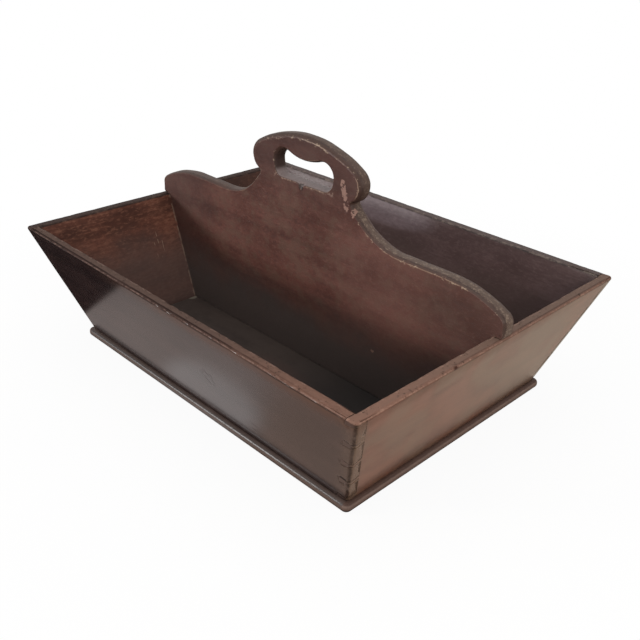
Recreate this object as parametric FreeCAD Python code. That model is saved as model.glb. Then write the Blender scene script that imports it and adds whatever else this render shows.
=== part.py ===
"""An open mahogany knife box: four canted walls dovetailed at the corners, nailed to a moulded base board,
and parted down the middle by a shaped board with a pierced handle.

Millimetres, +Z up. The origin is on the table under the middle of the box, and +X runs along the long
walls. The front wall faces -Y."""

import FreeCAD, Part
import math
import os

# The whole box, outside
rim_length = 381.0
rim_width = 292.0
rim_height = 103.0
foot_setback = 33.8  # how far a wall's foot stands inside its rim

# Base board
base_thick = 7.5
base_lip = 3.8  # how far the board stands out past the walls' feet
base_corner_round = 4.5  # in plan
base_edge_round_share = 0.44  # of the board's thickness, so the edge is all but a half round

# Walls
wall_thick = 8.5
corner_round = 3.5
rim_outer_round = 1.6
rim_inner_round = 2.2

# Through dovetails: tails on the long walls, pins on the end walls, widths where they come out at the corner
tail_count = 4
pin_width = 3.0
foot_pin_width = 3.0
rim_pin_width = 4.5
dovetail_slope_share = 0.17  # of a tail's length, gained each side

# Divider, and the groove that takes it in each end wall
divider_thick = 12.0
housing_depth = 3.0
housing_gap = 0.2  # left for glue between the divider's end and the bottom of its groove

# Divider's shoulders and ears, heights above the rim
shoulder_rise = 28.2
ear_sweep_run = 42.5  # from the level shoulder out to the ear's tip
ear_tip_rise = 9.3
ear_tip_round = 8.0
ear_curl_rise = 4.0
ear_curl_round = 6.0

# Divider's handle, heights above the shoulders
handle_rise = 65.6
handle_half_width = 61.0
handle_end_rise = 39.3
handle_end_round = 13.7
rise_run = 36.5  # from the handle's widest point out to the foot of the rise
rise_round = 54.5
cusp_round = 1.2

# Hand hole
grip_height = 16.1  # wood over each lobe of the hole
hole_height = 21.2
hole_half_width = 31.0
hole_lobe_round = 10.5
hole_dip = 3.7  # how far the grip swells down between the lobes
hole_corner_round = 6.0
hole_point_round = 5.0
hole_point_tip = 0.8

# Arrises of the divider: the outline rounded over and worn, the hand hole only eased with a knife
outline_round = 3.0
hole_ease = 1.2

# Cut brads
brad_length = 24.0
brad_shank = 1.8
brad_point = 0.9
brad_head_long = 3.8
brad_head_wide = 2.2
brad_head_thick = 0.9
brad_sink = 0.8  # how deep the heads are punched below the base
brad_place_shares = (-0.38, -0.13, 0.13, 0.38)  # of the foot's length along each wall

# Overrun of a cutting solid past what it cuts
overrun = 2.0

wall_rise = rim_height - base_thick
flare = math.atan2(foot_setback, wall_rise)
wall_across = wall_thick / math.cos(flare)
tails_length = wall_rise / math.cos(flare) - foot_pin_width - rim_pin_width
tail_pitch = (tails_length + pin_width) / tail_count
tail_width = tail_pitch - pin_width


def setback(z):
    """How far the walls' outer faces stand inside the rim at a height."""
    return foot_setback * (rim_height - z) / wall_rise


def half_length(z):
    return rim_length / 2 - setback(z)


def half_width(z):
    return rim_width / 2 - setback(z)


def vector(x, y, z):
    return FreeCAD.Vector(x, y, z)


def mirrored(shape, direction):
    return shape.mirror(vector(0, 0, 0), direction)


ALONG = vector(1, 0, 0)
ACROSS = vector(0, 1, 0)
UP = vector(0, 0, 1)


def flat_face(ring):
    return Part.Face(Part.makePolygon(ring + ring[:1]))


def solid_between(first, second):
    """A flat-faced solid from one ring of points to another, both anticlockwise from the second's side."""
    faces = [flat_face(second), flat_face(first[::-1])]
    for i, start in enumerate(first):
        j = (i + 1) % len(first)
        faces.append(flat_face([start, first[j], second[j], second[i]]))
    return Part.Solid(Part.Shell(faces))


def hopper(inset, low, high):
    """The flared space between two heights, a distance inside the walls' outer faces."""
    rings = []
    for z in (low, high):
        x = half_length(z) - inset
        y = half_width(z) - inset
        rings.append([vector(-x, -y, z), vector(x, -y, z), vector(x, y, z), vector(-x, y, z)])
    return solid_between(*rings)


def leaning_slab(place, half_reach, near, far, half_span):
    """A slab that leans with a wall, between two distances in from the wall's outer face."""
    low = base_thick - overrun
    high = rim_height + overrun
    rings = []
    for along in (-half_span, half_span):
        ring = []
        for z, inset in ((low, near), (low, far), (high, far), (high, near)):
            ring.append(place(half_reach(z) - inset, along, z))
        rings.append(ring)
    return solid_between(*rings)


def end_slab(near, far, half_span):
    """A slab in the line of the right end wall."""
    return leaning_slab(lambda out, along, z: vector(out, along, z), half_length, near, far, half_span)


def front_slab(near, far, half_span):
    """A slab in the line of the front wall."""
    return leaning_slab(lambda out, along, z: vector(along, -out, z), half_width, near, far, half_span)


def on_level(shape, z):
    """The edges of a shape that lie wholly at a height."""
    found = []
    for edge in shape.Edges:
        box = edge.BoundBox
        if math.isclose(box.ZMin, z, abs_tol=1e-4) and math.isclose(box.ZMax, z, abs_tol=1e-4):
            found.append(edge)
    return found


def wall_ring():
    """The four walls as one ring, with the corners and both arrises of the rim worn round."""
    outside = hopper(0, base_thick, rim_height)
    corners = [edge for edge in outside.Edges if edge.BoundBox.ZLength > wall_rise / 2]
    outside = outside.makeFillet(corner_round, corners)
    outside = outside.makeFillet(rim_outer_round, on_level(outside, rim_height))
    ring = outside.cut(hopper(wall_across, base_thick - overrun, rim_height + overrun))
    inner_rim = []
    for edge in on_level(ring, rim_height):
        middle = edge.CenterOfMass
        inside_x = abs(middle.x) < half_length(rim_height) - wall_across / 2
        inside_y = abs(middle.y) < half_width(rim_height) - wall_across / 2
        if inside_x and inside_y:
            inner_rim.append(edge)
    return ring.makeFillet(rim_inner_round, inner_rim)


def on_front_face(from_baseline, up_slope, depth):
    """A point by its distance past the dovetails' baseline, up the front wall and into its thickness."""
    along = half_length(base_thick) + up_slope * math.sin(flare) - wall_across + from_baseline
    out = half_width(base_thick) + up_slope * math.sin(flare) - depth * math.cos(flare)
    up = base_thick + up_slope * math.cos(flare) + depth * math.sin(flare)
    return vector(along, -out, up)


def tail(number):
    """One tail of the front wall's right end, cut square to the wall's face."""
    middle = foot_pin_width + tail_pitch * number + tail_width / 2
    narrow = -overrun
    wide = wall_across + overrun
    rings = []
    for depth in (wall_thick + overrun, -overrun):
        ring = []
        for from_baseline, side in ((narrow, -1), (wide, -1), (wide, 1), (narrow, 1)):
            half = tail_width / 2 + (from_baseline - wall_across) * dovetail_slope_share
            ring.append(on_front_face(from_baseline, middle + side * half, depth))
        rings.append(ring)
    return solid_between(*rings)


def pin_space():
    """What the right end wall keeps of the front corner: all of it but the tails."""
    space = end_slab(-overrun, wall_across, rim_width)
    return space.cut([tail(number) for number in range(tail_count)])


def front_wall(ring):
    wall = ring.common(front_slab(-overrun, wall_across, rim_length))
    pins = pin_space()
    return wall.cut([pins, mirrored(pins, ALONG)])


def end_wall(ring, long_walls):
    """The right end wall: what the tails leave of it, less the groove that takes the divider."""
    wall = ring.common(end_slab(-overrun, wall_across, rim_width))
    groove = end_slab(wall_across - housing_depth, wall_across + overrun, divider_thick / 2)
    return wall.cut(long_walls + [groove])


def base_board():
    half_x = half_length(base_thick) + base_lip
    half_y = half_width(base_thick) + base_lip
    board = Part.makeBox(2 * half_x, 2 * half_y, base_thick, vector(-half_x, -half_y, 0))
    uprights = [edge for edge in board.Edges if edge.BoundBox.ZLength > base_thick / 2]
    board = board.makeFillet(base_corner_round, uprights)
    edge_round = min(base_thick * base_edge_round_share, base_corner_round)
    return board.makeFillet(edge_round, on_level(board, 0) + on_level(board, base_thick))


def flat(x, z):
    """A point of the divider's outline, on the plane through the middle of the box."""
    return vector(x, 0, z)


def towards(centre, other, distance):
    """The point a distance from one point, in line with another."""
    return centre + (other - centre).normalize() * distance


def crossing(left, left_radius, right, right_radius):
    """Where two circles meet below the line between their centres."""
    span = left.distanceToPoint(right)
    along = (span**2 + left_radius**2 - right_radius**2) / (2 * span)
    aside = math.sqrt(left_radius**2 - along**2)
    line = (right - left).normalize()
    return left + line * along + vector(line.z, 0, -line.x) * aside


def bend(start, centre, end):
    """The shorter arc from one point to another about a centre."""
    middle = towards(centre, (start + end) / 2, start.distanceToPoint(centre))
    return Part.Arc(start, middle, end).toShape()


def run(start, end):
    return Part.LineSegment(start, end).toShape()


def outline(top, right_side, bottom):
    """A closed outline, alike on both sides, from its top and bottom edges and those of its right side."""
    left_side = [mirrored(edge, ALONG) for edge in right_side]
    return Part.Wire(Part.__sortEdges__([top, bottom] + right_side + left_side))


def opposite(point):
    """The same point on the other side of the middle."""
    return flat(-point.x, point.z)


def divider_outline():
    """Crown, round end, cusp, rise, level shoulder, sweep, ear, and the tongue that goes into the groove."""
    shoulder = rim_height + shoulder_rise
    top = shoulder + handle_rise
    reach = half_length(rim_height)

    handle_end = flat(handle_half_width - handle_end_round, shoulder + handle_end_rise)
    drop = top - handle_end.z
    crown_round = (handle_end.x**2 + drop**2 - handle_end_round**2) / (2 * (drop - handle_end_round))
    crown = flat(0, top - crown_round)
    rise = flat(handle_half_width + rise_run, shoulder + rise_round)
    cusp = crossing(handle_end, handle_end_round + cusp_round, rise, rise_round - cusp_round)

    tip = flat(reach - ear_tip_round, rim_height + ear_tip_rise)
    fall = shoulder - tip.z
    sweep_round = (ear_sweep_run**2 + fall**2 - ear_tip_round**2) / (2 * (fall - ear_tip_round))
    sweep = flat(tip.x - ear_sweep_run, shoulder - sweep_round)
    curl = flat(reach - ear_curl_round, rim_height + ear_curl_rise)
    curl_end = flat(curl.x + math.sqrt(ear_curl_round**2 - ear_curl_rise**2), rim_height)
    tongue = wall_across - housing_depth + housing_gap

    crown_to_end = towards(crown, handle_end, crown_round)
    end_to_cusp = towards(handle_end, cusp, handle_end_round)
    cusp_to_rise = towards(rise, cusp, rise_round)
    rise_foot = flat(rise.x, shoulder)
    level_end = flat(sweep.x, shoulder)
    sweep_to_tip = towards(sweep, tip, sweep_round)
    ear_top = flat(reach, tip.z)
    ear_low = flat(reach, curl.z)
    tongue_top = flat(half_length(rim_height) - tongue, rim_height)
    tongue_foot = flat(half_length(base_thick) - tongue, base_thick)
    right_side = [
        bend(crown_to_end, handle_end, end_to_cusp),
        bend(end_to_cusp, cusp, cusp_to_rise),
        bend(cusp_to_rise, rise, rise_foot),
        run(rise_foot, level_end),
        bend(level_end, sweep, sweep_to_tip),
        bend(sweep_to_tip, tip, ear_top),
        run(ear_top, ear_low),
        bend(ear_low, curl, curl_end),
        run(curl_end, tongue_top),
        run(tongue_top, tongue_foot),
    ]
    crown_arc = bend(opposite(crown_to_end), crown, crown_to_end)
    return outline(crown_arc, right_side, run(opposite(tongue_foot), tongue_foot))


def hole_outline():
    """Two lobes with the grip's swell between them, rounded lower corners and a small point in the sill."""
    lobe_top = rim_height + shoulder_rise + handle_rise - grip_height
    sill = lobe_top - hole_height
    lobe = flat(hole_half_width - hole_lobe_round, lobe_top - hole_lobe_round)
    dip_rise = hole_lobe_round - hole_dip
    swell_round = (lobe.x**2 + dip_rise**2 - hole_lobe_round**2) / (2 * hole_dip)
    swell = flat(0, lobe_top - hole_dip + swell_round)
    swell_to_lobe = towards(lobe, swell, hole_lobe_round)
    corner = flat(hole_half_width - hole_corner_round, sill + hole_corner_round)
    shoulder = flat(hole_point_round + hole_point_tip, sill - hole_point_round)
    point_side = flat(hole_point_tip, shoulder.z)
    point_end = flat(0, shoulder.z - hole_point_tip)
    right_side = [
        bend(swell_to_lobe, lobe, flat(hole_half_width, lobe.z)),
        run(flat(hole_half_width, lobe.z), flat(hole_half_width, corner.z)),
        bend(flat(hole_half_width, corner.z), corner, flat(corner.x, sill)),
        run(flat(corner.x, sill), flat(shoulder.x, sill)),
        bend(flat(shoulder.x, sill), shoulder, point_side),
    ]
    point = Part.Arc(opposite(point_side), point_end, point_side).toShape()
    return outline(bend(opposite(swell_to_lobe), swell, swell_to_lobe), right_side, point)


def face_arrises(board, lowest, highest):
    """The edges of the divider's two faces whose middles lie between two heights."""
    found = []
    for edge in board.Edges:
        on_face = edge.BoundBox.YLength < divider_thick / 2
        if on_face and lowest < edge.CenterOfMass.z < highest:
            found.append(edge)
    return found


def divider():
    thickness = ACROSS * divider_thick
    board = Part.Face(divider_outline()).extrude(thickness)
    board.translate(thickness / -2)
    above_rim = face_arrises(board, rim_height + ear_curl_rise / 4, board.BoundBox.ZMax)
    board = board.makeFillet(outline_round, above_rim)
    hole = Part.Face(hole_outline()).extrude(thickness * 2)
    hole.translate(-thickness)
    room = hole.BoundBox
    board = board.cut(hole)
    rims = []
    for edge in face_arrises(board, room.ZMin, room.ZMax):
        if abs(edge.CenterOfMass.x) < hole_half_width + overrun / 2:
            rims.append(edge)
    return board.makeChamfer(hole_ease, rims)


def square(side, z):
    half = side / 2
    return [vector(-half, -half, z), vector(half, -half, z), vector(half, half, z), vector(-half, half, z)]


def brad_head(low, high):
    corner = vector(-brad_head_long / 2, -brad_head_wide / 2, low)
    return Part.makeBox(brad_head_long, brad_head_wide, high - low, corner)


def brad():
    """A cut brad standing on its head: a flat head, and a square shank that tapers to a blunt end."""
    shank = solid_between(square(brad_shank, brad_head_thick), square(brad_point, brad_length))
    return brad_head(0, brad_head_thick).fuse(shank).removeSplitter()


def driven(shape):
    """A shape copied to each brad's place: up the middle of each wall, and upright under the divider."""
    foot_x = half_length(base_thick) - wall_across / 2 - (base_thick - brad_sink) * math.tan(flare)
    foot_y = half_width(base_thick) - wall_across / 2 - (base_thick - brad_sink) * math.tan(flare)
    lean = math.degrees(flare)
    placed = []
    for share in brad_place_shares:
        along = share * 2 * half_length(base_thick)
        across = share * 2 * half_width(base_thick)
        for x, y, turn, tilt in (
            (along, -foot_y, 0, lean),
            (along, foot_y, 0, -lean),
            (-foot_x, across, 90, -lean),
            (foot_x, across, 90, lean),
            (along, 0, 0, 0),
        ):
            copy = shape.copy()
            copy.rotate(vector(0, 0, 0), ALONG, tilt)
            copy.rotate(vector(0, 0, 0), UP, turn)
            copy.translate(vector(x, y, brad_sink))
            placed.append(copy)
    return placed


def build():
    ring = wall_ring()
    front = front_wall(ring)
    back = mirrored(front, ACROSS)
    right = end_wall(ring, [front, back])
    brads = driven(brad())
    punched = driven(brad().fuse(brad_head(-2 * brad_sink, 0)))
    wood = {
        "base_board": base_board(),
        "front_wall": front,
        "back_wall": back,
        "left_end_wall": mirrored(right, ALONG),
        "right_end_wall": right,
        "divider": divider(),
    }
    nodes = {name: shape.cut(punched) for name, shape in wood.items()}
    nodes["base_brads"] = Part.Compound(brads)
    return nodes


os.makedirs("parts", exist_ok=True)
for name, shape in build().items():
    shape.exportStep(f"parts/{name}.step")
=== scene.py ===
import math
import random

import bmesh
import bpy
import numpy as np
from mathutils import Matrix, Vector, noise


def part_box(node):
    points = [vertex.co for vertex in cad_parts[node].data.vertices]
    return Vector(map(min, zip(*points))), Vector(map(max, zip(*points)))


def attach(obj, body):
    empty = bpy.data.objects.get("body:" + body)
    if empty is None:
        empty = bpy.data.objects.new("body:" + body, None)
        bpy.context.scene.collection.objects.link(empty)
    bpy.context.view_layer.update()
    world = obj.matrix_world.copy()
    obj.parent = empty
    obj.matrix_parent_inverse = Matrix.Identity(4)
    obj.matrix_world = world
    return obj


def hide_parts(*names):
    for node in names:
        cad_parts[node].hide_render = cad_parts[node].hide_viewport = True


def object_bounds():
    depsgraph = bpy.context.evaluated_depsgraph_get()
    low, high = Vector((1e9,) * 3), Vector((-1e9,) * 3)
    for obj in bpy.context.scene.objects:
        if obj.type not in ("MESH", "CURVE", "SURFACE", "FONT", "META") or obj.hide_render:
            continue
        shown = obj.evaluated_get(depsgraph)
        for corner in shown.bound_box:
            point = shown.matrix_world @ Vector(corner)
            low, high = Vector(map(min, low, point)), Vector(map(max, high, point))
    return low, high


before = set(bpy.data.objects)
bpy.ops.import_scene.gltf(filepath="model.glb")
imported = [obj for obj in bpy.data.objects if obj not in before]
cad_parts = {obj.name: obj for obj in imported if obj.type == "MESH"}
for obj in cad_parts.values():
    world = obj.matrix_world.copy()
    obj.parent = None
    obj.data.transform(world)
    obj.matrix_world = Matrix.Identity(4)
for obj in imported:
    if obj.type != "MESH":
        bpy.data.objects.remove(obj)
cad_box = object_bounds()
mm = 0.001

# The front wall
# One mahogany board, planed to 8.5 mm and leaning outwards, its tails cut right through the end walls. It
# is polished nearly black outside and reflects like glass. Its top edge is worn to a pale line.

rim_length = cad_box[1].x - cad_box[0].x
rim_width = 292 * mm
rim_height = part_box("front_wall")[1].z
base_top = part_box("base_board")[1].z
foot_setback = 33.8 * mm
lean = foot_setback / (rim_height - base_top)
wall_across = 8.5 * mm * math.hypot(1, lean)
half_ways = (rim_length / 2, rim_width / 2)
weld = 0.001 * mm


def fine_board(node, steps, near_rim=()):
    """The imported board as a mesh: joint arrises eased by a hair, and a loop cut every few millimetres."""
    joint_angle = math.radians(50)
    joint_ease = 0.1 * mm
    shape = bmesh.new()
    shape.from_mesh(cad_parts[node].data)
    in_joint = shape.faces.layers.float.new("joint")
    bmesh.ops.remove_doubles(shape, verts=shape.verts, dist=weld)
    bmesh.ops.dissolve_limit(shape, angle_limit=math.radians(0.05), verts=shape.verts, edges=shape.edges)
    joints = [edge for edge in shape.edges if edge.calc_face_angle(0) > joint_angle]
    eased = bmesh.ops.bevel(
        shape, geom=joints, offset=joint_ease, segments=1, affect="EDGES", clamp_overlap=True)
    for face in eased["faces"]:
        face[in_joint] = 1
    bmesh.ops.triangulate(shape, faces=shape.faces)
    low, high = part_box(node)
    cuts = [(axis, place) for axis, step in enumerate(steps) if step
            for place in np.arange(low[axis] + step / 2, high[axis], step)]
    return cut_across(shape, cuts + [(2, rim_height - drop) for drop in near_rim])


def cut_across(shape, cuts):
    """Adds an edge loop where each plane, square to an axis at a place on it, cuts the shape."""
    for axis, place in cuts:
        square = Vector((0, 0, 0))
        square[axis] = 1
        everything = shape.verts[:] + shape.edges[:] + shape.faces[:]
        bmesh.ops.bisect_plane(
            shape, geom=everything, dist=weld, plane_co=square * place, plane_no=square)
    return shape


def near(distance, reach):
    """1 at no distance, about a third at the reach, and soon nothing beyond it."""
    return math.exp(-(distance / reach) ** 2)


def worn(shape, arrises, seed, ripple=0.1 * mm, rub=0.3 * mm, dents=40):
    """Moves the surface inwards: the plane's faint ripple, and the rub and dents along the arrises.

    An arris is a function of a point that gives the distance to it and the way along it."""
    ripple_scale, rub_scale, across_scale = 22, 45, 50
    arris_reach, least = 1.6 * mm, 0.02
    chance = random.Random(seed)
    marks = [(chance.uniform(-0.2, 0.2), chance.uniform(0.1, 0.55) * mm, chance.uniform(0.8, 2.6) * mm)
             for _ in range(dents)]
    shape.normal_update()
    moves = []
    for vert in shape.verts:
        place = vert.co
        depth = ripple * (0.5 + 0.5 * noise.noise(place * ripple_scale + Vector((seed, 0, 0))))
        for distance, along in (arris(place) for arris in arrises):
            close = near(distance, arris_reach)
            if close > least:
                spot = Vector((along * rub_scale, seed, distance * across_scale))
                depth += close * rub * (0.5 + 0.5 * noise.noise(spot))
                depth += close * sum(deep * near(along - at, wide) for at, deep, wide in marks)
        moves.append((vert, vert.normal * -depth))
    for vert, move in moves:
        vert.co += move
    return shape


def rim_arrises(side_axis):
    """The outer and inner arrises of a wall's top edge, and its two outer corners."""
    run_axis = 1 - side_axis

    def depth(place, axis):
        return half_ways[axis] - lean * (rim_height - place.z) - abs(place[axis])

    def outer(place):
        return math.hypot(depth(place, side_axis), rim_height - place.z), place[run_axis]

    def inner(place):
        return math.hypot(wall_across - depth(place, side_axis), rim_height - place.z), place[run_axis]

    def corner(place):
        return math.hypot(depth(place, side_axis), depth(place, run_axis)), place.z

    return [outer, inner, corner]


def piece_from(shape, name, slot, *stands_for):
    """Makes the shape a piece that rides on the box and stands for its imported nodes."""
    data = bpy.data.meshes.new(name)
    bmesh.ops.recalc_face_normals(shape, faces=shape.faces)
    shape.to_mesh(data)
    shape.free()
    data.shade_smooth()
    data.set_sharp_from_angle(angle=math.radians(38))
    piece = bpy.data.objects.new(name, data)
    bpy.context.scene.collection.objects.link(piece)
    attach(piece, "root")
    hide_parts(*stands_for)
    return piece


class Wire:
    """A socket in a node tree. Python's operators add Math nodes, and node() adds any other kind."""

    def __init__(self, tree, socket=None):
        self.tree = tree
        self.socket = socket

    def node(self, kind, settings=(), inputs=(), output=0):
        made = self.tree.nodes.new("ShaderNode" + kind)
        for name, value in dict(settings).items():
            setattr(made, name, value)
        for name, value in dict(inputs).items():
            if isinstance(value, Wire):
                self.tree.links.new(value.socket, made.inputs[name])
            else:
                made.inputs[name].default_value = value
        return Wire(self.tree, made.outputs[output] if len(made.outputs) else None)

    def maths(self, operation, *values):
        return self.node("Math", {"operation": operation}, enumerate(values))

    def __add__(self, other):
        return self.maths("ADD", self, other)

    def __sub__(self, other):
        return self.maths("SUBTRACT", self, other)

    def __rsub__(self, other):
        return self.maths("SUBTRACT", other, self)

    def __mul__(self, other):
        return self.maths("MULTIPLY", self, other)

    def __truediv__(self, other):
        return self.maths("DIVIDE", self, other)

    def __pow__(self, other):
        return self.maths("POWER", self, other)

    def __abs__(self):
        return self.maths("ABSOLUTE", self)

    __radd__ = __add__
    __rmul__ = __mul__


def shade(red, green, blue):
    """A colour as it shows on a screen, 0 to 255, in the linear values that a shader works in."""
    shown = (red / 255, green / 255, blue / 255)
    return (*(c / 12.92 if c < 0.04045 else ((c + 0.055) / 1.055) ** 2.4 for c in shown), 1)


def fade(value, low, high):
    """0 below low and 1 above high, smooth between. With high below low it runs the other way."""
    settings = {"interpolation_type": "SMOOTHSTEP"}
    return value.node("MapRange", settings, {"Value": value, "From Min": low, "From Max": high})


def tinted(under, over, share):
    """One colour over another, by a share that varies from 0 to 1."""
    return share.node("Mix", {"data_type": "RGBA"}, {0: share, 6: under, 7: over}, output=2)


def grain(place, long, wide, detail=3, rough=0.55, moved=0):
    """Noise drawn out along the board: long and wide are the streaks' size in millimetres."""
    sizes = {0: place, 1: tuple(1 / (size * mm) for size in (long, wide, wide)), 2: (moved, moved, moved)}
    drawn = place.node("VectorMath", {"operation": "MULTIPLY_ADD"}, sizes)
    return drawn.node("TexNoise", {}, {"Vector": drawn, "Scale": 1, "Detail": detail, "Roughness": rough})


def new_finish(name):
    """An empty finish, a wire to start its nodes from, and the surface's point, whole and as x, y and z."""
    finish = bpy.data.materials.new(name)
    finish.use_nodes = True
    finish.node_tree.nodes.clear()
    start = Wire(finish.node_tree)
    place = start.node("TexCoord", output=3)
    axes = [place.node("SeparateXYZ", {}, {0: place}, output=axis) for axis in range(3)]
    return finish, start, place, axes


def mahogany(place, deep, ruddy, light, figure=1.0):
    """Mahogany along the first axis: long drifts of tone, fine streaks, and short dark pores."""
    drift = grain(place, 170, 15, 3)
    cloud = grain(place, 40, 30, 3, 0.6, moved=7)
    streak = grain(place, 34, 1.5, 4, 0.62)
    pores = grain(place, 3.6, 0.34, 1, moved=3)
    colour = tinted(deep, ruddy, fade(drift * 0.6 + cloud * 0.4, 0.36, 0.62))
    colour = tinted(colour, light, fade(streak * 0.7 + cloud * 0.3, 0.5, 0.74) * (0.55 * figure))
    pore = fade(pores, 0.57, 0.7)
    colour = tinted(colour, deep, pore * (0.5 * figure))
    return colour, streak * 0.3 - pore * 0.5, cloud


def distance(one, other):
    return (one * one + other * other) ** 0.5


def patch(place, centre, reach):
    """1 in an oval about a point on the surface, fading to 0 at its reach. Both are in millimetres."""
    scale = tuple(1 / (size * mm) for size in reach)
    away = tuple(-at / size for at, size in zip(centre, reach))
    drawn = place.node("VectorMath", {"operation": "MULTIPLY_ADD"}, {0: place, 1: scale, 2: away})
    length = drawn.node("VectorMath", {"operation": "LENGTH"}, {0: drawn}, output=1)
    return fade(length, 1, 0.55)


def scratches(place, turn, long, apart):
    """A few scratches side by side, each broken off at its own length. Both sizes are in millimetres."""
    turned = place.node("VectorRotate", {"rotation_type": "EULER_XYZ"}, {"Vector": place, "Rotation": turn})
    side, rise = (turned.node("SeparateXYZ", {}, {0: turned}, output=axis) for axis in (1, 2))
    across = side + rise + (grain(turned, long, long, 1) - 0.5) * (1.5 * mm)
    thread = fade(across.maths("PINGPONG", across, apart * mm / 2), 0.34 * mm, 0.1 * mm)
    return thread * fade(grain(turned, long, apart, 1, moved=17), 0.44, 0.52)


def finished(finish, start, colour, roughness, relief, depth, gloss=0.5, polish=0, polish_roughness=0.2):
    """Puts the colour, roughness and relief on the finish's shader, and the polish over them as a coat.

    Gloss is what bare wood has of its own. Wood that has lost its polish has little."""
    bump = start.node("Bump", {}, {"Height": relief, "Strength": 0.7, "Distance": depth})
    shader = start.node("BsdfPrincipled", {}, {
        "Base Color": colour, "Roughness": roughness, "Normal": bump, "IOR": 1.5,
        "Specular IOR Level": gloss, "Coat Weight": polish, "Coat Roughness": polish_roughness})
    start.node("OutputMaterial", {}, {"Surface": shader})
    return finish


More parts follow.
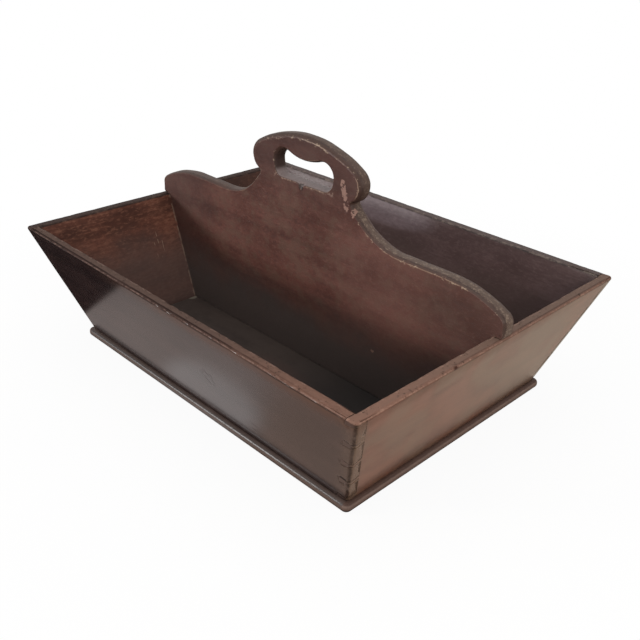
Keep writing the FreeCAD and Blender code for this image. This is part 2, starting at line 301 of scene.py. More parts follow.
def wall_finish(name, axis, wood, inner_wood, rim, polish_roughness, gloss, marks=(), painted_sheens=(), nicks=()):
    """A wall's mahogany: polished outside, dull and grimy inside, its top edge banded by wear.

    axis is the way its face looks. The rim's tones go inwards: pale arris, outer and inner band. Then come
    two shares, of its pale and of its dark lines. Marks are scratched patches: centre, reach, turn, and the
    scratches' length and how far apart they are. The sheens are a grey sheen painted into the inside's
    colour, a painted reflection of the window, and nicks are dark dents: centre and reach of each."""
    finish, start, place, (x, y, z) = new_finish(name)
    along = place if axis == 1 else start.node("CombineXYZ", {}, {0: y, 1: x, 2: z})
    colour, relief, cloud = mahogany(along, *wood)
    inner_colour, inner_relief, _ = mahogany(along, *inner_wood)
    speck = grain(place, 1.5, 1.5, 2, moved=11)
    fleck = grain(along, 4.5, 2, 3, 0.65, moved=13)
    blot = grain(place, 7, 7, 3, 0.6, moved=5)
    mottle = fleck * 0.6 + blot * 0.4
    handled = fade(x - y, 175 * mm, 320 * mm)

    drop = rim_height - z
    from_end = (half_ways[0] - lean * drop) - abs(x)
    from_long = (half_ways[1] - lean * drop) - abs(y)
    depth, beside = (from_long, from_end) if axis == 1 else (from_end, from_long)
    in_corner = fade(beside, 0.9 * mm, 0.5 * mm)
    inside = fade(depth, wall_across * 0.55, wall_across * 0.75) * (1 - in_corner)

    # outside: drifts of tone, this wall's joint where it ends in its neighbour's face, and wear from hands
    colour = tinted(colour, wood[2], fade(mottle, 0.5, 0.66) * 0.3)
    if axis == 0:
        sallow = grain(place, 60, 45, 2, 0.5, moved=21)
        colour = tinted(colour, shade(110, 92, 75), fade(sallow, 0.44, 0.6) * 0.5)
        colour = tinted(colour, shade(128, 86, 70), fade(sallow, 0.5, 0.34) * 0.4)
        colour = tinted(colour, shade(44, 31, 30), in_corner * (0.7 + speck * 0.4))
        by_corner = fade(from_long + (blot - 0.5) * (6 * mm), 12 * mm, 7 * mm)
        colour = tinted(colour, shade(92, 76, 60), by_corner * (1 - inside) * (1 - in_corner) * 0.6)
    else:
        colour = tinted(colour, shade(106, 84, 64), in_corner * (0.35 + speck * 0.4))
        rubbed = fade(from_end + (blot - 0.5) * (14 * mm), 15 * mm, 1 * mm) * handled * (1 - inside)
        colour = tinted(colour, shade(92, 72, 56), rubbed * 0.3)
    held = fade(drop + (blot - 0.5) * (8 * mm), 15 * mm, 2 * mm) * fade(x - y, 20 * mm, 200 * mm)
    colour = tinted(colour, shade(88, 60, 47), held * (0.6 if axis == 1 else 0.2))

    # inside: flecked, greyer towards the bottom, with dust along the divider, painted shade behind it on
    # the left wall, and painted sheens
    flecks = fleck * 0.8 + blot * 0.2
    inner_colour = tinted(inner_colour, inner_wood[2], fade(flecks, 0.5, 0.66) * 0.5)
    inner_colour = tinted(inner_colour, inner_wood[0], fade(flecks, 0.5, 0.36) * 0.5)
    low = fade(z + (cloud - 0.5) * (35 * mm), 90 * mm, 48 * mm)
    inner_colour = tinted(inner_colour, shade(84, 69, 65), low * (0.5 + fleck * 0.5))
    if axis == 0:
        beside_divider = abs(abs(y) - 6.6 * mm) + (speck - 0.5) * (1.2 * mm)
        dust = fade(beside_divider, 1.0 * mm, 0.3 * mm) * fade(blot, 0.38, 0.5)
        inner_colour = tinted(inner_colour, shade(124, 108, 96), dust * 0.6)
        # painted shade: the left wall's inside darker and greyer behind the divider, where less light
        # reaches
        shade_behind_divider = fade(y + (cloud - 0.5) * (20 * mm), 5 * mm, 30 * mm)
        inner_colour = tinted(inner_colour, shade(68, 53, 48), shade_behind_divider * 0.6)
    # a grey sheen painted into the inside's colour: a painted reflection of the window on the old polish
    for centre, reach in painted_sheens:
        sheen_share = patch(place, centre, reach) * (0.1 + fleck * 0.55)
        inner_colour = tinted(inner_colour, shade(150, 134, 140), sheen_share)
    colour = tinted(colour, inner_colour, inside)

    # grime and painted shade over the foot, and grime down the corner's arris
    # the foot: grime, and a painted shade where the wall meets the base
    foot = fade((z - base_top) + (blot - 0.5) * (3 * mm), 4.5 * mm, 0.4 * mm)
    colour = tinted(colour, shade(46, 35, 32), foot * 0.3)
    corner = distance(from_end, from_long)
    line = fade(corner + (speck - 0.5) * (3 * mm), 2.6 * mm, 0.9 * mm) * fade(blot, 0.38, 0.5)
    colour = tinted(colour, shade(34, 24, 17), line * 0.85)

    # the top edge: a dull inner band, a dark line, and a worn outer arris, paler towards the near corner
    pale_tone, outer_tone, inner_tone, pale_share, dark_share = rim
    top = fade(drop, 1.9 * mm, 0.9 * mm)
    band = fade(depth + (speck - 0.5) * (0.7 * mm), 2.2 * mm, 3 * mm)
    edge_colour = tinted(outer_tone, inner_tone, band * (0.6 + fleck * 0.7))
    edge_colour = tinted(edge_colour, shade(128, 95, 81), handled * (0.3 + fleck * 0.7))
    groove = fade(abs(depth - 2.5 * mm), 0.8 * mm, 0.3 * mm) * fade(cloud, 0.36, 0.5) * (1 - handled)
    edge_colour = tinted(edge_colour, shade(28, 20, 18), groove * dark_share)
    edge_colour = tinted(edge_colour, shade(32, 24, 20), fade(blot + speck, 1.12, 1.3) * 0.6)
    far_side = fade(depth, wall_across - 0.9 * mm, wall_across)
    edge_colour = tinted(edge_colour, shade(24, 18, 16), far_side * 0.8)
    inner_arris = distance(depth - wall_across * 0.93, drop) + (speck - 0.5) * (1.4 * mm)
    flaked = fade(inner_arris, 2 * mm, 1 * mm) * fade(mottle, 0.5, 0.56)
    flaked = flaked + fade(depth, 5 * mm, 2 * mm) * fade(fleck * 0.6 + speck * 0.4, 0.56, 0.64) * handled
    edge_colour = tinted(edge_colour, pale_tone, flaked * (pale_share * 0.6))
    colour = tinted(colour, edge_colour, top)
    under = fade(abs(drop - 2.2 * mm), 0.9 * mm, 0.3 * mm) * fade(depth, 1.5 * mm, 0.6 * mm)
    colour = tinted(colour, shade(28, 20, 18), under * fade(cloud, 0.42, 0.55) * dark_share)
    arris = distance(depth, drop) + (speck - 0.5) * (0.9 * mm)
    pale = fade(arris, 1.4 * mm, 0.8 * mm) * fade(blot * 0.6 + cloud * 0.4 + handled * 0.1, 0.38, 0.52)
    colour = tinted(colour, pale_tone, pale * pale_share)

    # dark nicks, and grime in the lines of the dovetails
    for centre, reach in nicks:
        dented = patch(place, centre, reach) * fade(speck * 0.5 + fleck * 0.5, 0.4, 0.5)
        colour = tinted(colour, shade(52, 28, 22), dented * 0.9)
    joint = start.node("Attribute", {"attribute_name": "joint"}, output=2)
    colour = tinted(colour, shade(34, 25, 20), joint * 0.8)

    # scratches go through the polish outside, and catch the light inside
    scored = 0
    for centre, reach, turn, long, apart in marks:
        scored = scratches(place, turn, long, apart) * patch(place, centre, reach) + scored
    if marks:
        colour = tinted(colour, shade(158, 134, 116), scored * inside * 0.7)
        colour = tinted(colour, shade(26, 18, 16), scored * (1 - inside) * 0.8)
        relief = relief - scored
    relief = relief * (0.25 - inside * 0.25) + (inner_relief + fleck * 1.2 + blot * 0.4) * inside

    polish = (1 - inside) * (1 - top) * (1 - pale) * (1 - foot * 0.4) * (1 - joint * 0.85)
    polish = polish * (1 - held * 0.4) * (1 - line * 0.7)
    if marks:
        polish = polish * (1 - scored * 0.85)
    roughness = 0.42 + (cloud - 0.5) * 0.15 + top * 0.2
    return finished(finish, start, colour, roughness, relief, 0.1 * mm, gloss, polish, polish_roughness)


along_step, up_step = 2.4 * mm, 4 * mm
near_rim = [0.5 * mm, 1.0 * mm, 1.7 * mm, 2.6 * mm, 4 * mm]
shape = worn(fine_board("front_wall", (along_step, 0, up_step), near_rim), rim_arrises(1), seed=1)
front_wall = piece_from(shape, "front_wall_worn", "long_wall_mahogany", "front_wall")
front_wall.data.materials.append(wall_finish(
    "front_wall_polish", 1,
    wood=(shade(36, 27, 27), shade(48, 36, 35), shade(64, 48, 43)),
    inner_wood=(shade(46, 34, 31), shade(62, 46, 41), shade(78, 60, 52)),
    rim=(shade(134, 110, 100), shade(58, 44, 40), shade(88, 71, 64), 0.75, 0.7),
    polish_roughness=0.17, gloss=0.02,
    marks=[((33, -128, 51), (11, 9, 10), (0, -0.58, 0), 9, 2.6),
           ((75, -118, 24), (14, 9, 6), (0, -0.15, 0), 8, 2.2)]))

# The back wall
# The front wall's pair, from a browner board. It stands out of reach behind the handle, so its inside has
# kept a dull shine, with a grey sheen painted in high up behind the handle, and its top edge is dark with a
# few pale specks.

shape = worn(fine_board("back_wall", (along_step, 0, up_step), near_rim), rim_arrises(1), seed=2)
back_wall = piece_from(shape, "back_wall_worn", "long_wall_mahogany", "back_wall")
back_wall.data.materials.append(wall_finish(
    "back_wall_polish", 1,
    wood=(shade(34, 26, 27), shade(47, 35, 35), shade(62, 47, 43)),
    inner_wood=(shade(76, 57, 56), shade(94, 73, 72), shade(106, 86, 84)),
    rim=(shade(138, 122, 110), shade(80, 65, 60), shade(74, 58, 54), 0.6, 0.4),
    polish_roughness=0.2, gloss=0.5,
    painted_sheens=[((-35, 135, 95), (68, 20, 16))]))

# The end walls
# Shorter boards with the pins of the dovetails, each with a tapered groove inside for the divider's end.
# Handled and lit more than the long walls, they have faded to a warmer brown.

end_wood = (shade(84, 54, 41), shade(110, 73, 56), shade(134, 96, 76))
shape = worn(fine_board("left_end_wall", (0, along_step, up_step), near_rim), rim_arrises(0), seed=3)
left_wall = piece_from(shape, "left_end_wall_worn", "end_wall_mahogany", "left_end_wall")
left_wall.data.materials.append(wall_finish(
    "left_end_wall_polish", 0,
    wood=end_wood,
    inner_wood=(shade(69, 44, 37), shade(104, 65, 53), shade(132, 91, 74)),
    rim=(shade(120, 98, 82), shade(54, 42, 39), shade(62, 49, 45), 0.25, 0.4),
    polish_roughness=0.28, gloss=0.08,
    marks=[((-166, -31.5, 63), (10, 8, 16), (0.45, 1.45, 0), 11, 4)]))

shape = worn(fine_board("right_end_wall", (0, along_step, up_step), near_rim), rim_arrises(0), seed=4)
right_wall = piece_from(shape, "right_end_wall_worn", "end_wall_mahogany", "right_end_wall")
right_wall.data.materials.append(wall_finish(
    "right_end_wall_polish", 0,
    wood=end_wood,
    inner_wood=(shade(52, 36, 31), shade(72, 50, 42), shade(90, 66, 56)),
    rim=(shade(160, 128, 112), shade(106, 80, 69), shade(106, 86, 76), 0.7, 0.4),
    polish_roughness=0.28, gloss=0.08,
    nicks=[((190.5, -55, 103), (2.6, 4, 3))]))

# The divider
# One 12 mm mahogany board down the middle, sawn to its outline, pierced for the hand and rounded over by
# eye, so the handle stands a little to the left. Its ends are let into the end walls, and its ears lap
# their rims.

divider_half = 6 * mm
shoulder = rim_height + 28.2 * mm
handle_top = shoulder + 65.6 * mm
sill = handle_top - 37.3 * mm
notch_at = -3.4 * mm
handle_aside = -1.7 * mm
tongue_round = 0.3 * mm


def flat(x, z):
    return Vector((x, z))


def towards(centre, other, reach):
    """The point at a distance from one point, in line with another."""
    return centre + (other - centre).normalized() * reach


def crossing(left, left_radius, right, right_radius):
    """Where two circles meet below the line between their centres."""
    span = (right - left).length
    along = (span**2 + left_radius**2 - right_radius**2) / (2 * span)
    line = (right - left).normalized()
    return left + line * along + flat(line.y, -line.x) * math.sqrt(left_radius**2 - along**2)


def bend(start, centre, end, step=1.1 * mm):
    """Points round the shorter arc between two points, short of the second."""
    first = math.atan2(*(start - centre).yx)
    turn = (math.atan2(*(end - centre).yx) - first + math.pi) % math.tau - math.pi
    radius = (start - centre).length
    count = max(3, round(abs(turn) * radius / step))
    angles = [first + turn * number / count for number in range(count)]
    return [centre + flat(math.cos(angle), math.sin(angle)) * radius for angle in angles]


def run(start, end, step=2.4 * mm):
    count = max(1, round((end - start).length / step))
    return [start.lerp(end, number / count) for number in range(count)]


def opposite(point):
    return flat(-point.x, point.y)


def divider_outline():
    """From the right tongue's foot over the ear, the shoulder and the handle, and down the other side."""
    reach = half_ways[0]
    handle_end, end_radius = flat(47.3 * mm, shoulder + 39.3 * mm), 13.7 * mm
    drop = handle_top - handle_end.y
    crown_radius = (handle_end.x**2 + drop**2 - end_radius**2) / (2 * (drop - end_radius))
    crown = flat(0, handle_top - crown_radius)
    rise, rise_radius, cusp_radius = flat(97.5 * mm, shoulder + 54.5 * mm), 54.5 * mm, 1.2 * mm
    cusp = crossing(handle_end, end_radius + cusp_radius, rise, rise_radius - cusp_radius)
    tip, tip_radius, sweep_run = flat(reach - 8 * mm, rim_height + 9.3 * mm), 8 * mm, 42.5 * mm
    fall = shoulder - tip.y
    sweep_radius = (sweep_run**2 + fall**2 - tip_radius**2) / (2 * (fall - tip_radius))
    sweep = flat(tip.x - sweep_run, shoulder - sweep_radius)
    curl, curl_radius = flat(reach - 6 * mm, rim_height + 4 * mm), 6 * mm
    curl_end = flat(curl.x + math.sqrt(curl_radius**2 - (curl.y - rim_height) ** 2), rim_height)
    behind_groove = 2.8 * mm
    tongue = wall_across - behind_groove
    tongue_top = flat(reach - tongue, rim_height)
    tongue_foot = flat(reach - foot_setback - tongue, base_top)

    crown_to_end = towards(crown, handle_end, crown_radius)
    end_to_cusp = towards(handle_end, cusp, end_radius)
    cusp_to_rise = towards(rise, cusp, rise_radius)
    sweep_to_tip = towards(sweep, tip, sweep_radius)
    ear_low, ear_high = flat(reach, curl.y), flat(reach, tip.y)
    level, foot = flat(sweep.x, shoulder), flat(rise.x, shoulder)
    side = run(tongue_foot, tongue_top) + run(tongue_top, curl_end) + bend(curl_end, curl, ear_low)
    side += run(ear_low, ear_high) + bend(ear_high, tip, sweep_to_tip) + bend(sweep_to_tip, sweep, level)
    side += run(level, foot) + bend(foot, rise, cusp_to_rise) + bend(cusp_to_rise, cusp, end_to_cusp)
    side += bend(end_to_cusp, handle_end, crown_to_end) + bend(crown_to_end, crown, flat(0, handle_top))
    other_side = [opposite(point) for point in reversed(side)]
    return side + [flat(0, handle_top)] + other_side + run(opposite(tongue_foot), tongue_foot)[1:]


def hole_outline():
    """Two lobes under the grip's swell, and a level sill with a fuller corner on the right."""
    lobe_top, half, lobe_radius, dip = handle_top - 16.1 * mm, 31 * mm, 10.5 * mm, 3.7 * mm
    left_corner, right_corner = 6 * mm, 9 * mm
    lobe = flat(half - lobe_radius, lobe_top - lobe_radius)
    swell_radius = (lobe.x**2 + (lobe_radius - dip) ** 2 - lobe_radius**2) / (2 * dip)
    swell = flat(0, lobe_top - dip + swell_radius)
    lobe_start = towards(lobe, swell, lobe_radius)

    def side(corner_radius):
        """From the grip's swell round one lobe and its lower corner to the middle of the sill."""
        corner = flat(half - corner_radius, sill + corner_radius)
        points = bend(lobe_start, lobe, flat(half, lobe.y)) + run(flat(half, lobe.y), flat(half, corner.y))
        points += bend(flat(half, corner.y), corner, flat(corner.x, sill))
        return points + run(flat(corner.x, sill), flat(0, sill), 1.2 * mm)

    left = [opposite(point) for point in reversed(side(left_corner))]
    return side(right_corner) + [flat(0, sill)] + left + bend(opposite(lobe_start), swell, lobe_start)[1:]


def between(value, low, high):
    """0 up to low, 1 from high on, and in proportion between the two."""
    return min(max((value - low) / (high - low), 0), 1)


def rounded_edge(shape, turn_layer, outline, round_at, seed):
    """Skins the board's edge along an outline: from the front face round over the edge to the back face.

    round_at gives, at a point, the round's width and depth, and the share of room for the rings on the flat
    face. The round starts at a soft arris on each face. What comes back are the two loops of edges where
    the faces begin."""
    first_slope = math.radians(32)
    steps = 6
    wave_scale, fine_scale, shaved = 60, 420, 0.2 * mm
    # each ring: how far in from the arris on the flat face, inset and drop as shares of the round, and turn
    section = [(2.2 * mm, 0, 0, -0.3), (0.8 * mm, 0, 0, -0.1)]
    for number in range(steps + 1):
        slope = first_slope + (math.pi / 2 - first_slope) * number / steps
        inset = (1 - math.sin(slope)) / (1 - math.sin(first_slope))
        drop = (math.cos(first_slope) - math.cos(slope)) / math.cos(first_slope)
        section.append((0, inset, drop, number / steps))
    points = []
    for number, point in enumerate(outline):
        tangent = (outline[(number + 1) % len(outline)] - outline[number - 1]).normalized()
        lift = between(point.y, shoulder, shoulder + 22 * mm)
        aside = flat(handle_aside * lift * lift * (3 - 2 * lift), 0)
        points.append((point + aside, flat(tangent.y, -tangent.x)))
    rings = []
    for side, part in [(-1, part) for part in section] + [(1, part) for part in reversed(section)]:
        within, inset, drop, turn = part
        ring = []
        for point, out in points:
            wave = noise.noise(Vector((point.x * wave_scale, point.y * wave_scale, seed + side)))
            fine = noise.noise(Vector((point.x * fine_scale, point.y * fine_scale, seed + side)))
            width, depth, room = round_at(point)
            width *= 1 + 0.16 * wave + 0.14 * fine
            back = width * (inset if turn >= 0 else 1) + within * room + shaved * (1 + wave)
            across = side * (divider_half - depth * drop)
            vert = shape.verts.new((point.x - out.x * back, across, point.y - out.y * back))
            vert[turn_layer] = turn
            ring.append(vert)
        rings.append(ring)
    for lower, upper in zip(rings, rings[1:]):
        for number in range(len(points)):
            shape.faces.new((lower[number - 1], lower[number], upper[number], upper[number - 1]))
    return [[shape.edges.get((ring[number - 1], ring[number])) for number in range(len(points))]
            for ring in (rings[0], rings[-1])]


def outer_round(point):
    """The round is wider at the grip than along the shoulders, and dies away in the groove."""
    lift = between(point.y, rim_height - 0.5 * mm, rim_height + 4.5 * mm)
    grip = between(point.y, shoulder + 18 * mm, shoulder + 34 * mm)
    width, depth, room = 1.5 * mm + 1.5 * mm * grip, 4.4 * mm, 1
    return tongue_round + (width - tongue_round) * lift, tongue_round + (depth - tongue_round) * lift, room


def hole_round(point):
    """The round is fuller at the hole's left side. The sill is nearly square, with a notch worn in it."""
    high = between(point.y, handle_top - 33 * mm, handle_top - 25 * mm)
    left = between(-point.x, 18 * mm, 28 * mm) * high
    notch = near(point.x - notch_at, 2.4 * mm) * (1 - high)
    width, depth, room = 1.0 * mm + 0.8 * mm * high + 1.6 * mm * left + 4.0 * mm * notch, 3.4 * mm, 0.25
    return width, depth, room


shape = bmesh.new()
turn_layer = shape.verts.layers.float.new("turn")
outer_loops = rounded_edge(shape, turn_layer, divider_outline(), outer_round, seed=5)
hole_loops = rounded_edge(shape, turn_layer, hole_outline(), hole_round, seed=9)
for outer_loop, hole_loop in zip(outer_loops, hole_loops):
    bmesh.ops.triangle_fill(shape, edges=outer_loop + hole_loop, use_beauty=True)
face_step = 4 * mm
cuts = [(0, place) for place in np.arange(-half_ways[0] + face_step, half_ways[0], face_step)]
cut_across(shape, cuts + [(2, place) for place in np.arange(base_top + face_step, handle_top, face_step)])
shape = worn(shape, [], seed=6, ripple=0.16 * mm)
divider = piece_from(shape, "divider_shaped", "divider_mahogany", "divider")

finish, start, place, (x, y, z) = new_finish("divider_polish")
colour, relief, cloud = mahogany(place, shade(74, 44, 38), shade(98, 61, 53), shade(116, 78, 67), 0.6)
speck = grain(place, 1.5, 1.5, 2, moved=11)
fleck = grain(place, 4, 2.6, 3, 0.65, moved=13)
blot = grain(place, 9, 8, 3, 0.6, moved=5)
along = x + (cloud - 0.5) * (100 * mm)

# the faces: drifts of tone, dark up the handle, greyer towards the foot, and painted light and shade along
# the
# board: darker and greyer to the left, paler right of the middle, greyer at the far right
colour = tinted(colour, shade(90, 72, 60), fade(blot * 0.6 + cloud * 0.4, 0.46, 0.6) * 0.4)
colour = tinted(colour, shade(116, 82, 72), fade(fleck, 0.52, 0.7) * 0.3)
colour = tinted(colour, shade(66, 46, 41), fade(fleck * 0.5 + blot * 0.5, 0.48, 0.36) * 0.4)
# painted shade: darker and greyer towards the left end
colour = tinted(colour, shade(72, 56, 53), fade(along, -90 * mm, -165 * mm) * 0.45)
# painted light: paler right of the middle, and greyer at the far right
painted_light = fade(along, 10 * mm, 80 * mm) * fade(along, 150 * mm, 110 * mm)
colour = tinted(colour, shade(118, 84, 76), painted_light * 0.35)
colour = tinted(colour, shade(86, 67, 61), fade(along, 105 * mm, 160 * mm) * 0.4)
colour = tinted(colour, shade(64, 43, 39), fade(z, shoulder + 10 * mm, shoulder + 40 * mm) * 0.6)
# greyer towards the foot
low = fade(z + (cloud - 0.5) * (40 * mm), 76 * mm, 30 * mm)
colour = tinted(colour, shade(84, 76, 73), low * 0.9)

# the edge, from its arris where turn is 0 to its middle where it is 1: dull, rubbed paler at the right, and
# its crown worn and painted lighter where light from above falls on it
turn = start.node("Attribute", {"attribute_name": "turn"}, output=2)
above = fade(z, rim_height - 1 * mm, rim_height + 2 * mm)
on_hole = patch(place, (handle_aside / mm, 0, 167), (64, 40, 35)) * fade(z, 178 * mm, 174 * mm)
on_hole = on_hole * fade(abs(x - handle_aside), 34 * mm, 32 * mm)
colour = tinted(colour, shade(64, 48, 41), fade(turn, 0.03, 0.14) * above * 0.8)
worn_side = fade(x + z * 0.3 + (cloud - 0.5) * (120 * mm), -40 * mm, 50 * mm)
on_handle = fade(z, shoulder + 12 * mm, shoulder + 30 * mm)
# the crown of the edge: wear, and a painted highlight where light from above falls
crown_wear_and_light = fade(turn + (speck - 0.5) * 0.5 + (fleck - 0.5) * 0.5, 0.5, 0.95)
crown_wear_and_light = crown_wear_and_light * (0.3 + worn_side * 0.7) * above * (1 - on_handle * 0.5)
colour = tinted(colour, shade(94, 78, 68), crown_wear_and_light * (0.2 + fleck * 0.6 + speck * 0.4))
colour = tinted(colour, shade(138, 120, 104), crown_wear_and_light * fade(speck * 0.5 + fleck * 0.5, 0.52, 0.6) * 0.5)
seam = fade(abs(turn - 0.55) + (speck - 0.5) * 0.4, 0.16, 0.05) * fade(y, 0, -0.5 * mm)
colour = tinted(colour, shade(52, 40, 35), seam * fade(blot, 0.4, 0.52) * above * 0.7)
arris = fade(abs(turn + (speck - 0.5) * 0.1), 0.08, 0.03) * above * fade(x, -155 * mm, -135 * mm)
arris = arris * fade(blot * 0.5 + cloud * 0.5, 0.44, 0.53) * (0.25 + worn_side * 0.5)
arris = arris * (1 - on_handle * fade(x, 6 * mm, -14 * mm) * 0.8)
colour = tinted(colour, shade(140, 116, 98), arris)
flecks = fade(turn, -0.3, -0.05) * fade(turn, 0.34, 0.1) * fade(speck * 0.4 + fleck * 0.6, 0.57, 0.62)
colour = tinted(colour, shade(168, 148, 126), flecks * worn_side * above * 0.7)

# the hand hole: sides darkened with painted shade, a sill painted with a grey sheen and rough along its
# arris, and the dark notch
# painted shade on the sides of the hand hole
colour = tinted(colour, shade(58, 42, 38), on_hole * fade(turn, 0.05, 0.3) * 0.9)
# a painted reflection: the sill's grey sheen, painted into its colour
sill_sheen = on_hole * fade(z, sill + 6 * mm, sill + 1.5 * mm) * fade(turn, 0.1, 0.4)
colour = tinted(colour, shade(134, 120, 118), sill_sheen * (0.6 + speck * 0.5))
by_sill = abs(z - sill + (fleck - 0.5) * (3 * mm))
rough_sill = on_hole * fade(by_sill, 2.4 * mm, 0.6 * mm) * fade(turn, 0.2, 0)
colour = tinted(colour, shade(160, 136, 122), rough_sill * fade(speck * 0.5 + fleck * 0.5, 0.5, 0.56) * 0.6)
in_notch = patch(place, (-3.6, -6, 157), (3.6, 3, 5)) * fade(speck, 0.4, 0.5)
colour = tinted(colour, shade(34, 24, 21), in_notch * 0.8)

# chips off the face: by the hand hole's right side, out towards the handle's end, and one low down
chips = 0
for centre, reach in (
        ((41, -6, 169), (4, 5, 7)), ((43, -6, 163), (4, 5, 5)), ((45, -6, 155), (4, 5, 8)),
        ((60, -6, 173), (2, 4, 4)), ((52, -6, 151), (3, 6, 5)), ((80, -6, 47), (2.5, 5, 2.5))):
    chips = patch(place, centre, reach) + chips
chip = fade(chips * 0.26 + fleck * 0.75 + speck * 0.25, 0.7, 0.76) * fade(chips, 0, 0.2)
colour = tinted(colour, shade(146, 114, 102), chip * 0.85)
roughness = 0.45 + (cloud - 0.5) * 0.3 + (speck - 0.5) * 0.2
relief = relief + fleck * 0.9 + blot * 0.5 - chip * 1.5
finished(finish, start, colour, roughness, relief, 0.12 * mm, gloss=0.25)
divider.data.materials.append(finish)

# The base board
# One mahogany board nailed up under the walls, standing out a little all round. Its edge is worked to a
# half round, and its upper side is the floor of both compartments.

shape = worn(fine_board("base_board", (3 * mm, 3 * mm, 0)), [], seed=7, ripple=0.06 * mm)
base = piece_from(shape, "base_board_worn", "base_mahogany", "base_board")
finish, start, place, (x, y, z) = new_finish("base_board_polish")
colour, relief, cloud = mahogany(place, shade(40, 30, 28), shade(56, 43, 39), shade(72, 57, 52), 0.8)
speck = grain(place, 1.5, 1.5, 2, moved=11)
blot = grain(place, 10, 8, 3, 0.6, moved=5)
lip, lip_long = (fade(abs(at), half - foot_setback - 1.5 * mm, half - foot_setback)
                 for at, half in zip((x, y), half_ways))
inside = (1 - lip) * (1 - lip_long) * fade(z, base_top * 0.6, base_top * 0.9)

# the edge: brown at the ends, in part painted light; painted highlights along its middle and, on the ends,
# higher up; its top painted paler; and black underneath with dirt and painted shade
# brown at the ends: the end wood's tone, and in part painted light from the side
colour = tinted(colour, shade(78, 53, 43), lip * (0.4 + blot * 0.6))
# a painted highlight along the middle of the half round
rounded = fade(abs(z - 4.4 * mm) + (speck - 0.5) * (0.8 * mm), 1.5 * mm, 0.7 * mm) * (1 - inside)
colour = tinted(colour, shade(130, 110, 100), rounded * 0.3)
# a painted highlight line higher up the round, on the ends
thread = fade(abs(z - 5.6 * mm) + (speck - 0.5) * (0.8 * mm), 0.9 * mm, 0.3 * mm) * lip * (1 - inside)
colour = tinted(colour, shade(128, 108, 98), thread * (0.2 + blot * 0.5))
# black underneath: dirt, and a painted shade where the round turns down to the floor
colour = tinted(colour, shade(30, 23, 22), fade(z, 3.2 * mm, 2 * mm) * (0.8 + lip * 0.15))
# painted light: the edge's top painted paler, so the walls' polish reflects it lighter
upper = fade(z, base_top - 1.2 * mm, base_top) * (1 - inside) * (1 - lip * 0.7)
colour = tinted(colour, shade(116, 98, 90), upper * (0.2 + blot * 0.3))

# the floor of the compartments: dull and dusty, browner in front and darker to the right, with some debris
colour = tinted(colour, shade(64, 54, 49), inside * (0.4 + fade(blot * 0.5 + cloud * 0.5, 0.35, 0.6) * 0.5))
colour = tinted(colour, shade(76, 54, 48), inside * patch(place, (10, -60, 7.5), (70, 40, 20)) * blot)
colour = tinted(colour, shade(33, 29, 28), inside * fade(x, -20 * mm, 90 * mm) * 0.85)
debris = fade(patch(place, (-149, -10, 7.5), (7, 6, 6)) * (speck + 0.5), 0.5, 0.62)
colour = tinted(colour, shade(136, 130, 116), debris * 0.45)
roughness = 0.34 + inside * 0.3 + lip * (1 - inside) * 0.3 + (cloud - 0.5) * 0.15
finished(finish, start, colour, roughness, relief + speck * 0.5, 0.05 * mm, gloss=0.4)
base.data.materials.append(finish)

# The brads
# Twenty cut iron brads, driven up through the base board, four into each wall and four into the divider.
# They have rusted dark.

finish, start, place, _ = new_finish("brad_rust")
rust = grain(place, 0.8, 0.8, 3)
colour = tinted(shade(38, 32, 30), shade(86, 52, 36), fade(rust, 0.45, 0.65))
finished(finish, start, colour, 0.7 + rust * 0.2, rust, 0.05 * mm)
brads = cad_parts["base_brads"]
brads.data.materials.clear()
brads.data.materials.append(finish)

# The floor
# A plain pale table. The camera sees it fade to white past the box's shadow, and the box's polish reflects
# it as a dim grey, dark towards the left.

floor_reach = 6
floor_data = bpy.data.meshes.new("floor")
floor_data.from_pydata(
    [(-floor_reach, -floor_reach, 0), (floor_reach, -floor_reach, 0),
     (floor_reach, floor_reach, 0), (-floor_reach, floor_reach, 0)], [], [(0, 1, 2, 3)])
floor = bpy.data.objects.new("floor", floor_data)
bpy.context.scene.collection.objects.link(floor)
finish, start, place, (x, y, _) = new_finish("floor_paint")
paint = start.node("BsdfDiffuse", {}, {"Color": (0.86, 0.86, 0.86, 1)})
white = start.node("Emission", {}, {"Color": (1, 1, 1, 1), "Strength": 1})

# what the camera sees: white, with a faint shadow round the box
far = fade(distance(x, y), 260 * mm, 500 * mm)
by_camera = start.node("LightPath", output=0)
seen = start.node("MixShader", {}, {0: (0.93 + far * 0.07) * by_camera, 1: paint, 2: white})

# what the polish reflects: dim greys, paler beyond the box and close to its foot, and dark at the left
beyond = fade(y, -80 * mm, 160 * mm)
dim = tinted(shade(172, 160, 156), shade(173, 149, 136), fade(x - y * 0.2, 10 * mm, 120 * mm))
dim = tinted(dim, shade(198, 182, 166), beyond)
dim = tinted(dim, shade(180, 167, 162), patch(place, (-60, -140, 0), (120, 60, 60)))
dim = tinted(dim, shade(214, 206, 204), patch(place, (-4, -121, 0), (72, 24, 60)))
dark = fade(x + (y + 119 * mm) * 0.4, -183 * mm, -193 * mm) * fade(y, 20 * mm, -40 * mm)
dim = tinted(dim, shade(20, 16, 16), dark)
reflected = start.node("Emission", {}, {"Color": dim, "Strength": 1})
by_gloss = start.node("LightPath", output=3)
look = start.node("MixShader", {}, {0: by_gloss, 1: seen, 2: reflected})
start.node("OutputMaterial", {}, {"Surface": look})
floor.data.materials.append(finish)

# The light
# A low window to the left of the camera, a softer light from the right, and a pale ceiling. The room is
# white all round, so the shadows are soft.

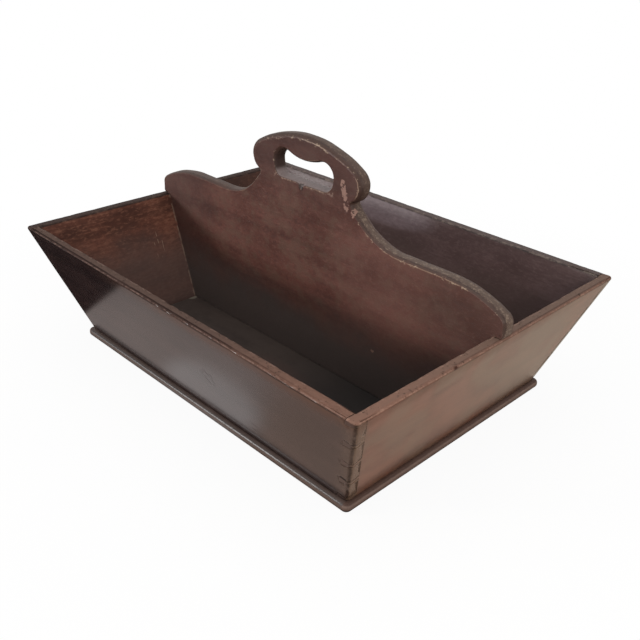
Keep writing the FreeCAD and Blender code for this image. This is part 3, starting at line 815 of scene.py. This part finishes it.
world = bpy.data.worlds.new("studio")
world.use_nodes = True
bpy.context.scene.world = world
world.node_tree.nodes.clear()
start = Wire(world.node_tree)
room = start.node("Background", {}, {"Color": (1, 1, 1, 1), "Strength": 0.62})
white = start.node("Background", {}, {"Color": (1, 1, 1, 1), "Strength": 1})
seen = start.node("MixShader", {}, {0: start.node("LightPath", output=0), 1: room, 2: white})
start.node("OutputWorld", {}, {"Surface": seen})


def direction(azimuth, elevation):
    """The way from the box to a place round it. Azimuth 0 stands at -Y and 90 at +X."""
    turn, rise = math.radians(azimuth), math.radians(elevation)
    return Vector((math.sin(turn) * math.cos(rise), -math.cos(turn) * math.cos(rise), math.sin(rise)))


def lamp(name, azimuth, elevation, distance, size, power, colour):
    """A soft rectangular light that faces the box."""
    data = bpy.data.lights.new(name, "AREA")
    data.shape = "RECTANGLE"
    data.size, data.size_y = size
    data.energy = power
    data.color = colour
    light = bpy.data.objects.new(name, data)
    bpy.context.scene.collection.objects.link(light)
    away = direction(azimuth, elevation)
    light.location = away * distance
    light.rotation_euler = away.to_track_quat("Z", "Y").to_euler()


lamp("window", -36, 12.5, 2.4, (0.5, 0.35), 28, (1, 0.98, 0.97))
lamp("side", 72, 26, 1.6, (1.0, 0.6), 8, (1, 0.93, 0.86))
lamp("ceiling", 0, 88, 1.6, (1.6, 1.6), 8, (1, 1, 1))

# The camera
# It stands two thirds of a metre from the box, off the near corner, and looks down at it. It is tilted
# some two degrees from level.

camera_data = bpy.data.cameras.new("camera")
camera = bpy.data.objects.new("camera", camera_data)
bpy.context.scene.collection.objects.link(camera)
bpy.context.scene.camera = camera
camera_data.sensor_width = 36
camera_data.lens = 45.08
camera_data.clip_start = 0.05
away = direction(44.408, 28.373)
tilt = math.radians(2.108)
level_right = (-away).cross(Vector((0, 0, 1))).normalized()
level_up = level_right.cross(-away)
right = level_right * math.cos(tilt) + level_up * math.sin(tilt)
up = level_up * math.cos(tilt) - level_right * math.sin(tilt)
aim = Vector((7.2, 9.4, 38.5)) * mm
stand_off = 677.6 * mm
facing = Matrix((right, up, away)).transposed().to_4x4()
camera.matrix_world = Matrix.Translation(aim + away * stand_off) @ facing

bpy.context.scene.view_settings.view_transform = "Standard"
